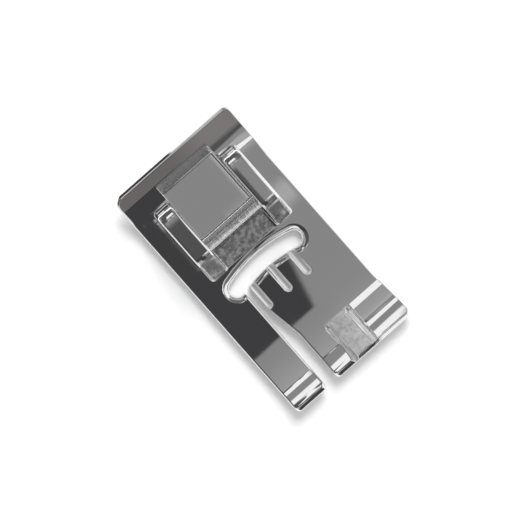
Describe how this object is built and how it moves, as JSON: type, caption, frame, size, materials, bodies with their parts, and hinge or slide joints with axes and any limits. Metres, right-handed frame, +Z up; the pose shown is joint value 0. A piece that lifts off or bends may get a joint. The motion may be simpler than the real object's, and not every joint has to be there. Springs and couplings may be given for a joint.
{
  "type": "sewing machine presser foot",
  "caption": "Clip-on sewing machine presser foot: chrome cast plate with a curved needle slot, split toes, an upturned heel and a cross pin held between its ears.",
  "frame": {"origin": "on the sole, in the middle of the foot's box; the needle line is 0.2 mm towards the toes", "axes": "+Z up from the sole, +Y from the toes to the heel, +X to the sewer's right with the toes towards the sewer"},
  "size_m": [0.0206, 0.0382, 0.0055],
  "materials": {
    "plated_casting": "bright chrome plate on a zinc casting",
    "plated_pin": "turned and polished"
  },
  "bodies": {
    "root": {"foot_body": "plated_casting", "cross_pin": "plated_pin"}
  },
  "joints": []
}
